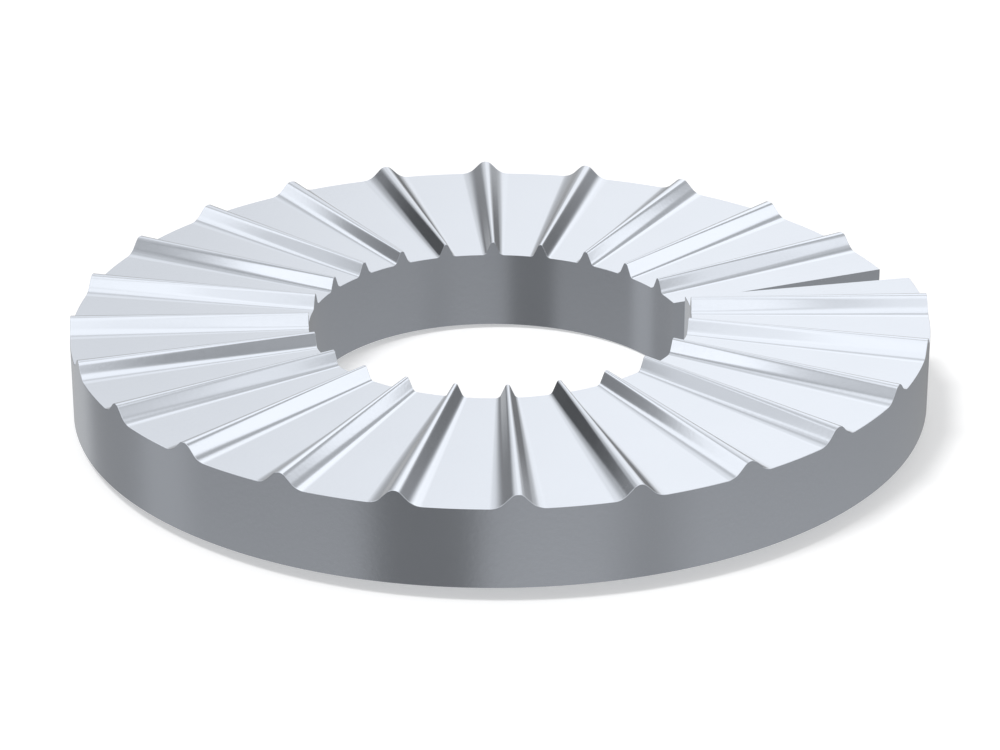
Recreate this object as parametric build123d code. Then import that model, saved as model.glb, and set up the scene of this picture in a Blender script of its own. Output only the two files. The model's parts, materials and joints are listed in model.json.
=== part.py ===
"""Ribbed split lock washer: a helical steel ring with radial ribs pressed into its upper face.

Origin: on the axis of the bore, level with the lowest point of the underside.
+Z points out of the ribbed face, and +X runs through the middle of the split.
"""
from build123d import *
from math import cos, radians, tan
import os

# Ring, in millimetres and degrees
outside_diameter = 29.1
bore_diameter = 13.0
thickness = 2.7  # from the underside up to the flats between the ribs
helix_rise = 0.72  # climb of the ring over one full turn, anticlockwise seen from above
split_angle = 10.0  # between the two cut ends

# Ribs, measured on the outer wall, from where they taper towards the axis
rib_places = 24  # evenly spaced round the ring, and the one at the split stays empty
rib_height = 0.48  # the same all along a rib
flank_angle = 45.0  # between a flank and the flats
crest_radius = 0.3
root_radius = 0.65

outer_radius = outside_diameter / 2
bore_radius = bore_diameter / 2
pitch_angle = 360 / rib_places

# The wedges that the ring is made from run past both walls, which are then cut true
wall_allowance = 0.8
inner_plane = bore_radius - wall_allowance
outer_plane = outer_radius + wall_allowance

# What cuts the walls and the split true stands this far above and below the underside
cutter_reach = 2 * (thickness + rib_height + helix_rise)


def climb(angle):
    """Height of the underside at an angle from the split, with the lower cut end at zero."""
    return helix_rise * (angle - split_angle / 2) / 360


def rib_outline(distance, slope):
    """Sharp rib corners and the radii that round them, at a distance from the axis.

    A rib keeps its height and spans the same angle everywhere, so nearer the axis its
    flanks are steeper and its radii smaller.
    """
    taper = distance / outer_radius
    crest_cut = crest_radius * (1 / cos(radians(flank_angle)) - 1)
    sharp_height = rib_height + crest_cut
    half_base = taper * sharp_height / tan(radians(flank_angle))
    corners = [(-half_base, -slope * half_base), (0, sharp_height), (half_base, slope * half_base)]

    steepness = tan(radians(flank_angle)) / taper
    crest = crest_cut / ((1 + steepness**2) ** 0.5 - 1)
    half_turn = ((1 + steepness**2) ** 0.5 - 1) / steepness
    root = taper * root_radius * tan(radians(flank_angle / 2)) / half_turn
    return corners, crest, root


def with_halved_arcs(section):
    """The same outline with each rounding in two halves, so that lofted faces stay gently bent."""
    edges = []
    for edge in section.edges():
        rounded = edge.geom_type == GeomType.CIRCLE
        edges += [edge.trim(0, 0.5), edge.trim(0.5, 1)] if rounded else [edge]
    return make_face(edges)


def wedge_section(distance, start, end, ribbed):
    """Section of the ring between two angles, on the upright plane square to their middle."""
    half_width = distance * tan(radians((end - start) / 2))
    half_climb = (climb(end) - climb(start)) / 2
    slope = half_climb / half_width
    low = climb((start + end) / 2)
    top = low + thickness

    rib, crest, root = rib_outline(distance, slope)
    corners = [(-half_width, low - half_climb), (-half_width, top - half_climb)]
    corners += [(x, top + z) for x, z in rib] if ribbed else []
    corners += [(half_width, top + half_climb), (half_width, low + half_climb)]
    section = make_face(Polyline(*corners, close=True))
    if ribbed:
        by_side = section.vertices().sort_by(Axis.X)
        section = fillet([by_side[2], by_side[4]], root)
        section = with_halved_arcs(fillet(section.vertices().sort_by(Axis.Y)[-1], crest))

    middle = Axis.Z.direction.rotate(Axis.Y, 90).rotate(Axis.Z, (start + end) / 2)
    tangent = middle.rotate(Axis.Z, 90)
    return Plane(origin=middle * distance, x_dir=tangent, z_dir=middle) * section


def wedge(start, end, ribbed):
    """One piece of the ring between two angles, tapering towards the axis."""
    sections = [wedge_section(plane, start, end, ribbed) for plane in (inner_plane, outer_plane)]
    return loft(sections, ruled=True)


def ring():
    """All wedges in a row up the helix, from one side of the split to the other."""
    half_pitch = pitch_angle / 2
    pieces = [wedge(0, half_pitch, ribbed=False)]
    for place in range(1, rib_places):
        middle = place * pitch_angle
        pieces.append(wedge(middle - half_pitch, middle + half_pitch, ribbed=True))
    pieces.append(wedge(360 - half_pitch, 360, ribbed=False))
    return Part() + pieces


def walls():
    """Tube between the bore and the outer wall, tall enough for the whole helix."""
    return Cylinder(outer_radius, 2 * cutter_reach) - Cylinder(bore_radius, 2 * cutter_reach)


def split():
    """Upright wedge of space between the two cut ends."""
    length = 2 * outer_radius
    half_width = length * tan(radians(split_angle / 2))
    outline = Polyline((0, 0), (length, -half_width), (length, half_width), close=True)
    return extrude(make_face(outline), amount=cutter_reach, both=True)


def washer():
    return ring() & (walls() - split())


os.makedirs("parts", exist_ok=True)
export_step(washer(), "parts/washer.step")
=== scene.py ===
"""Ribbed split lock washer in bright plated spring steel, on a plain white studio floor."""
import bmesh
import bpy
import json
from math import atan, atan2, cos, pi, radians, sin, sqrt, tan
from mathutils import Matrix, Vector


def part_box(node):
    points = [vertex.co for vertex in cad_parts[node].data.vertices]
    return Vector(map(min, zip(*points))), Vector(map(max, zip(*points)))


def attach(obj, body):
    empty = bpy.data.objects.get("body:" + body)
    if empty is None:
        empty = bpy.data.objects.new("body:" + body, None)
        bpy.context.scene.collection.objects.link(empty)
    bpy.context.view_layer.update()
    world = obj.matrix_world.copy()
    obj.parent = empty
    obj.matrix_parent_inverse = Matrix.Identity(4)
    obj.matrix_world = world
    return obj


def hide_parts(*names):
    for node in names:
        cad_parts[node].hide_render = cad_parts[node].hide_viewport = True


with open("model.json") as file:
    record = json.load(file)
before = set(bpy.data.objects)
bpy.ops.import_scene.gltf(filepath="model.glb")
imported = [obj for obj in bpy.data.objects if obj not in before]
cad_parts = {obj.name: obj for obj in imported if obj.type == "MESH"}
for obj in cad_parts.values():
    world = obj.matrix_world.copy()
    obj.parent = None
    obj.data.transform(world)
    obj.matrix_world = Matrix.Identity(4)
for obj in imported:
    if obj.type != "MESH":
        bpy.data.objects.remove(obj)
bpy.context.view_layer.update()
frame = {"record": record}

MM = 0.001
WHITE = (1, 1, 1, 1)

# The ring, in metres and radians. Its radii come from the frame.
BORE_RADIUS = next(m for m in frame["record"]["mounts"] if m["name"] == "bore")["dims"]["r_mm"] * MM
OUTER_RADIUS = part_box("washer")[1].y
THICKNESS = 2.7 * MM
CLIMB_PER_TURN = 0.72 * MM
SPLIT_ANGLE = radians(10.0)

# Ribs, measured on the outer wall
RIB_PLACES = 24
RIB_PITCH = 2 * pi / RIB_PLACES
RIB_HEIGHT = 0.48 * MM
FLANK_ANGLE = radians(45.0)
CREST_RADIUS = 0.3 * MM
ROOT_RADIUS = 0.65 * MM

# How finely the ring is made
STEP = RIB_PITCH / 120
RADIAL_STRIPS = 8
EDGE_RADIUS = 0.01 * MM
EDGE_SEGMENTS = 2
MERGE_DISTANCE = 0.001 * MM
LARGER_FACE = 5  # times its neighbour's area, from which the edge between the two is shaded sharp

# Steel finish
DULLER_STEEL = (0.782, 0.827, 0.9, 1)
BRIGHTER_STEEL = (0.82, 0.865, 0.94, 1)
CLOUD_SIZE = 3 * MM
CLOUD_DETAIL = 3.0
STEEL_ROUGHNESS = 0.18
ROUGHNESS_SPREAD = 0.06
GRAIN_SIZE = 0.15 * MM
GRAIN_DETAIL = 2.0
GRAIN_DEPTH = 0.0012 * MM

# The walls and ceiling that the steel mirrors. Softboxes are an azimuth, an elevation, half a width,
# half a height and the softness of their edges, all in degrees, and a brightness. Later ones hide
# earlier ones, and the ceiling hides them all. A fade runs from one elevation to another.
HORIZON_LEVEL = 0.17
WALL_LEVEL = 0.57
WALL_FADE = radians(-5), radians(45)
SOFTBOXES = [
    (154, 55, 25, 10, 5, 0.42),
    (80, 2, 14, 14, 12, 0.49),
    (79, 38, 20, 20, 13, 0.90),
    (56, 33, 17, 16, 7, 1.17),
    (56, 6, 15, 11, 8, 0.50),
    (64, 17, 10, 10, 6, 0.96),
    (119, 2, 11, 13, 7, 0.08),
    (136, 38, 21, 16, 5, 1.09),
    (171, 29, 12, 14, 6, 0.74),
    (193, 28, 13, 13, 5, 1.17),
    (226, 59, 30, 16, 7, 1.12),
    (264, 63, 18, 8, 6, 0.95),
    (224, 34, 11, 12, 6, 1.00),
    (259, 33, 12, 16, 10, 1.13),
    (291, 42, 9, 15, 6, 0.34),
    (322, 33, 22, 12, 6, 0.91),
    (338, 40, 12, 12, 6, 0.88),
    (355, 25, 22, 21, 4, 1.13),
    (28, 45, 14, 20, 6, 0.46),
]
CEILING_LEVEL = 1.08
CEILING_FADE = radians(60), radians(71)

# The floor that the steel mirrors, darker towards the horizon. Stripes run outwards over it, and are
# an azimuth, half a width and the softness of their edges in degrees, and a brightness.
FLOOR_LEVEL = 0.388
FLOOR_DROP = 0.22
FLOOR_FADE = radians(-34), radians(-14)
LIGHTER_SIDE = 335, 85, 15  # azimuth, half a width and softness, in degrees
LIGHTER_SIDE_RISE = 0.035
FLOOR_STRIPES = [
    (233, 14, 5, 0.167),
    (293, 8, 9, 0.275),
    (96, 16, 7, 0.5),
    (129, 10, 6, 0.275),
    (154, 9, 4, 0.37),
]
HORIZON_FADE = radians(-3), radians(-17)  # from the walls to the floor

# The floor that is seen, and the light on matte things
FLOOR_RADIUS = 2.0
FLOOR_SIDES = 64
FLOOR_COLOUR = (0.8, 0.8, 0.8, 1)
FLOOR_GLOW = 0.3  # for the camera alone
EVEN_LIGHT = 0.55
LAMP_AZIMUTH = radians(200)
LAMP_ELEVATION = radians(67)
LAMP_STRENGTH = 1.47
LAMP_SPREAD = radians(15)

# The photograph's viewpoint
CAMERA_AZIMUTH = radians(252.82)
CAMERA_ELEVATION = radians(24.38)
CAMERA_DISTANCE = 122.83 * MM
CAMERA_AIM = Vector((0, 0, 1.07 * MM))
CAMERA_LENS = 129.05  # focal length in millimetres
CAMERA_NEAREST = 10 * MM


# Ring

def rib_profile(angle, distance):
    """Height of the ribbed face above the flats, at an angle from the nearest crest."""
    taper = distance / OUTER_RADIUS
    steepness = tan(FLANK_ANGLE) / taper
    crest_cut = CREST_RADIUS * (1 / cos(FLANK_ANGLE) - 1)
    crest = crest_cut / (sqrt(1 + steepness**2) - 1)
    root = taper * ROOT_RADIUS * tan(FLANK_ANGLE / 2) * steepness / (sqrt(1 + steepness**2) - 1)
    slope = atan(steepness)

    across = distance * abs(tan(angle))
    half_base = (RIB_HEIGHT + crest_cut) / steepness
    root_end = half_base + root * tan(slope / 2)
    if across < crest * sin(slope):
        return RIB_HEIGHT - crest + sqrt(crest**2 - across**2)
    if across < root_end - root * sin(slope):
        return (half_base - across) * steepness
    if across < root_end:
        return root - sqrt(root**2 - (root_end - across)**2)
    return 0.0


def helix_climb(angle):
    """Height that the ring gains over an angle."""
    return CLIMB_PER_TURN * angle / (2 * pi)


def helix_turn(angle):
    """The move up the helix: a turn about the axis with the ring's climb over that angle."""
    return Matrix.Translation((0, 0, helix_climb(angle))) @ Matrix.Rotation(angle, 4, "Z")


def add_section(bm):
    """Upright outline of the ring with eased corners, on the +X side, with its underside at zero.

    It starts as a flat square with sides of 1, which is scaled to size.
    """
    width = OUTER_RADIUS - BORE_RADIUS
    bmesh.ops.create_grid(bm, x_segments=1, y_segments=1, size=0.5)
    bmesh.ops.scale(bm, vec=(width, THICKNESS, 1), verts=bm.verts)
    bmesh.ops.bevel(bm, geom=bm.verts[:], affect="VERTICES", offset=EDGE_RADIUS,
                    segments=EDGE_SEGMENTS, profile=0.5, material=-1)
    top = max(bm.edges, key=lambda edge: edge.verts[0].co.y + edge.verts[1].co.y)
    bmesh.ops.subdivide_edges(bm, edges=[top], cuts=RADIAL_STRIPS - 1)
    bmesh.ops.delete(bm, geom=bm.faces[:], context="FACES_ONLY")
    middle = (OUTER_RADIUS + BORE_RADIUS) / 2
    upright = Matrix.Translation((middle, 0, THICKNESS / 2)) @ Matrix.Rotation(pi / 2, 4, "X")
    bmesh.ops.transform(bm, verts=bm.verts, matrix=upright)


def raise_rib(bm):
    """Lift the upper side of a stretch to the rib's profile, with its crest at angle zero."""
    for vert in bm.verts:
        if vert.co.z > THICKNESS / 2:
            vert.co.z += rib_profile(atan2(vert.co.y, vert.co.x), vert.co.xy.length)


def stretch(start, end, ribbed=False):
    """The ring between two angles, spun from one section and open at both ends."""
    bm = bmesh.new()
    add_section(bm)
    bmesh.ops.transform(bm, verts=bm.verts, matrix=helix_turn(start))
    steps = round((end - start) / STEP)
    bmesh.ops.spin(bm, geom=bm.verts[:] + bm.edges[:], cent=(0, 0, 0), axis=(0, 0, 1),
                   dvec=(0, 0, helix_climb(end - start) / steps), angle=end - start, steps=steps,
                   use_merge=False, use_duplicate=False)
    if ribbed:
        raise_rib(bm)
    mesh = bpy.data.meshes.new("stretch")
    bm.to_mesh(mesh)
    bm.free()
    return mesh


def ring_mesh():
    """The ring from one cut end to the other: one ribbed stretch repeated, between two plain ones."""
    ring = bmesh.new()
    ribbed = stretch(-RIB_PITCH / 2, RIB_PITCH / 2, ribbed=True)
    for _ in range(1, RIB_PLACES):
        ribbed.transform(helix_turn(RIB_PITCH))
        ring.from_mesh(ribbed)
    ring.from_mesh(stretch(SPLIT_ANGLE / 2, RIB_PITCH / 2))
    ring.from_mesh(stretch(2 * pi - RIB_PITCH / 2, 2 * pi - SPLIT_ANGLE / 2))
    bmesh.ops.remove_doubles(ring, verts=ring.verts, dist=MERGE_DISTANCE)

    lowest = helix_climb(SPLIT_ANGLE / 2)
    bmesh.ops.translate(ring, verts=ring.verts, vec=(0, 0, -lowest))
    bmesh.ops.holes_fill(ring, edges=[edge for edge in ring.edges if edge.is_boundary])
    bmesh.ops.recalc_face_normals(ring, faces=ring.faces)
    for edge in ring.edges:
        areas = [face.calc_area() for face in edge.link_faces]
        edge.smooth = max(areas) < LARGER_FACE * min(areas)
    return ring


def new_piece(name, bm, material):
    """A smooth-shaded object from a bmesh, apart from the edges that are marked sharp."""
    mesh = bpy.data.meshes.new(name)
    bm.to_mesh(mesh)
    bm.free()
    mesh.shade_smooth()
    mesh.materials.append(material)
    piece = bpy.data.objects.new(name, mesh)
    bpy.context.scene.collection.objects.link(piece)
    return piece


# Shader maths

class Value:
    """An output of a shader node, on which arithmetic adds Math nodes to the same tree."""

    def __init__(self, tree, socket=None):
        self.tree = tree
        self.socket = socket

    def node(self, kind, inputs=(), output=0, **settings):
        """One output of a new node of this kind, with its settings made before its inputs."""
        node = self.tree.nodes.new("ShaderNode" + kind)
        for name, setting in settings.items():
            setattr(node, name, setting)
        for name, value in dict(inputs).items():
            if isinstance(value, Value):
                self.tree.links.new(value.socket, node.inputs[name])
            else:
                node.inputs[name].default_value = value
        return Value(self.tree, node.outputs[output])

    def feed(self, node, name):
        """Join this output to an input of a node that is already there."""
        self.tree.links.new(self.socket, node.inputs[name])

    def math(self, operation, *values):
        return self.node("Math", dict(enumerate(values)), operation=operation)

    def __add__(self, other):
        return self.math("ADD", self, other)

    def __sub__(self, other):
        return self.math("SUBTRACT", self, other)

    def __rsub__(self, other):
        return self.math("SUBTRACT", other, self)

    def __mul__(self, other):
        return self.math("MULTIPLY", self, other)

    def __abs__(self):
        return self.math("ABSOLUTE", self)

    __radd__ = __add__
    __rmul__ = __mul__

    def soft_step(self, nought, one):
        """From 0 to 1 as this value goes from one number to the other, in either order."""
        ends = {"Value": self, "From Min": nought, "From Max": one}
        return self.node("MapRange", ends, interpolation_type="SMOOTHSTEP")

    def within(self, half_width, softness):
        """1 where this angle is within half a width of zero, and 0 outside, with both sizes in degrees."""
        return abs(self).soft_step(radians(half_width + softness), radians(half_width - softness))


# Steel

def finish_steel(material):
    """Bright plating whose gloss and tint drift a little in wide clouds, over a fine even grain."""
    tree = material.node_tree
    shader = tree.nodes["Principled BSDF"]
    shader.inputs["Metallic"].default_value = 1
    place = Value(tree).node("TexCoord", output="Object")
    clouds = place.node("TexNoise", {"Vector": place, "Scale": 1 / CLOUD_SIZE, "Detail": CLOUD_DETAIL})
    grain = place.node("TexNoise", {"Vector": place, "Scale": 1 / GRAIN_SIZE, "Detail": GRAIN_DETAIL})

    # A colour Mix node has its factor at input 0, its two colours at 6 and 7, and its result at output 2
    tint = clouds.node("Mix", {0: clouds, 6: DULLER_STEEL, 7: BRIGHTER_STEEL}, output=2, data_type="RGBA")
    tint.feed(shader, "Base Color")
    roughness = STEEL_ROUGHNESS + ROUGHNESS_SPREAD * (clouds + grain - 1)
    roughness.feed(shader, "Roughness")
    bumps = grain.node("Bump", {"Height": grain, "Distance": GRAIN_DEPTH})
    bumps.feed(shader, "Normal")


steel = bpy.data.materials.new("plated_steel")
steel.use_nodes = True
finish_steel(steel)

ring = new_piece("ribbed_ring", ring_mesh(), steel)
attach(ring, "root")
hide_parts("washer")
ring.visible_glossy = False


# Studio

def outward(azimuth, elevation):
    """Unit vector from the origin in a direction."""
    return Vector((cos(azimuth) * cos(elevation), sin(azimuth) * cos(elevation), sin(elevation)))


def turned_from(x, y, azimuth):
    """Angle in radians from an azimuth in degrees to the way that x and y point."""
    facing = radians(azimuth)
    along = x * cos(facing) + y * sin(facing)
    across = y * cos(facing) - x * sin(facing)
    return across.math("ARCTAN2", across, along)


def wall_brightness(x, y, elevation):
    """Softboxes before grey walls that are darkest at the horizon, under a white ceiling."""
    level = HORIZON_LEVEL + (WALL_LEVEL - HORIZON_LEVEL) * elevation.soft_step(*WALL_FADE)
    for azimuth, height, half_width, half_height, softness, brightness in SOFTBOXES:
        beside = turned_from(x, y, azimuth).within(half_width, softness)
        above = (elevation - radians(height)).within(half_height, softness)
        level = level + (brightness - level) * beside * above
    return level + (CEILING_LEVEL - level) * elevation.soft_step(*CEILING_FADE)


def floor_brightness(x, y, elevation):
    """A grey floor with a lighter side and stripes."""
    level = FLOOR_LEVEL - FLOOR_DROP * elevation.soft_step(*FLOOR_FADE)
    azimuth, half_width, softness = LIGHTER_SIDE
    level = level + LIGHTER_SIDE_RISE * turned_from(x, y, azimuth).within(half_width, softness)
    for azimuth, half_width, softness, brightness in FLOOR_STRIPES:
        level = level + (brightness - level) * turned_from(x, y, azimuth).within(half_width, softness)
    return level


def studio_brightness(tree):
    """Brightness of the studio in every direction."""
    direction = Value(tree).node("TexCoord", output="Generated")
    x, y, z = [direction.node("SeparateXYZ", {"Vector": direction}, output=axis) for axis in "XYZ"]
    elevation = z.math("ARCSINE", z)
    above = wall_brightness(x, y, elevation)
    below = floor_brightness(x, y, elevation)
    return above + (below - above) * elevation.soft_step(*HORIZON_FADE)


def light_studio(world):
    """Even white light on matte things, and the studio for the steel to mirror."""
    tree = world.node_tree
    background = tree.nodes["Background"]
    background.inputs["Color"].default_value = WHITE
    background.inputs["Strength"].default_value = EVEN_LIGHT
    even = Value(tree, background.outputs["Background"])
    mirrored = even.node("Background", {"Color": WHITE, "Strength": studio_brightness(tree)})
    glossy = even.node("LightPath", output="Is Glossy Ray")
    light = even.node("MixShader", {0: glossy, 1: even, 2: mirrored})
    light.feed(tree.nodes["World Output"], "Surface")
    # Only bounced rays look for this light, because a sampled light ray never counts as a glossy one
    world.cycles.sampling_method = "NONE"


def finish_floor(material):
    """White that takes a shadow, with a glow that only the camera sees and that lights nothing."""
    tree = material.node_tree
    shader = tree.nodes["Principled BSDF"]
    shader.inputs["Base Color"].default_value = FLOOR_COLOUR
    shader.inputs["Emission Color"].default_value = WHITE
    glow = Value(tree).node("LightPath", output="Is Camera Ray") * FLOOR_GLOW
    glow.feed(shader, "Emission Strength")


def floor_disc():
    """Round floor at height zero."""
    disc = bmesh.new()
    bmesh.ops.create_circle(disc, cap_ends=True, segments=FLOOR_SIDES, radius=FLOOR_RADIUS)
    return disc


white = bpy.data.materials.new("white_floor")
white.use_nodes = True
finish_floor(white)

floor = new_piece("studio_floor", floor_disc(), white)
floor.visible_glossy = False

world = bpy.data.worlds.new("studio")
bpy.context.scene.world = world
world.use_nodes = True
light_studio(world)

lamp = bpy.data.objects.new("top_lamp", bpy.data.lights.new("top_lamp", "SUN"))
lamp.data.energy = LAMP_STRENGTH
lamp.data.angle = LAMP_SPREAD
lamp.rotation_euler = outward(LAMP_AZIMUTH, LAMP_ELEVATION).to_track_quat("Z", "Y").to_euler()
lamp.visible_glossy = False
bpy.context.scene.collection.objects.link(lamp)

camera = bpy.data.objects.new("camera", bpy.data.cameras.new("camera"))
camera.data.lens = CAMERA_LENS
camera.data.clip_start = CAMERA_NEAREST
toward_camera = outward(CAMERA_AZIMUTH, CAMERA_ELEVATION)
camera.location = CAMERA_AIM + CAMERA_DISTANCE * toward_camera
camera.rotation_euler = toward_camera.to_track_quat("Z", "Y").to_euler()
bpy.context.scene.collection.objects.link(camera)
bpy.context.scene.camera = camera
bpy.context.scene.view_settings.view_transform = "Standard"
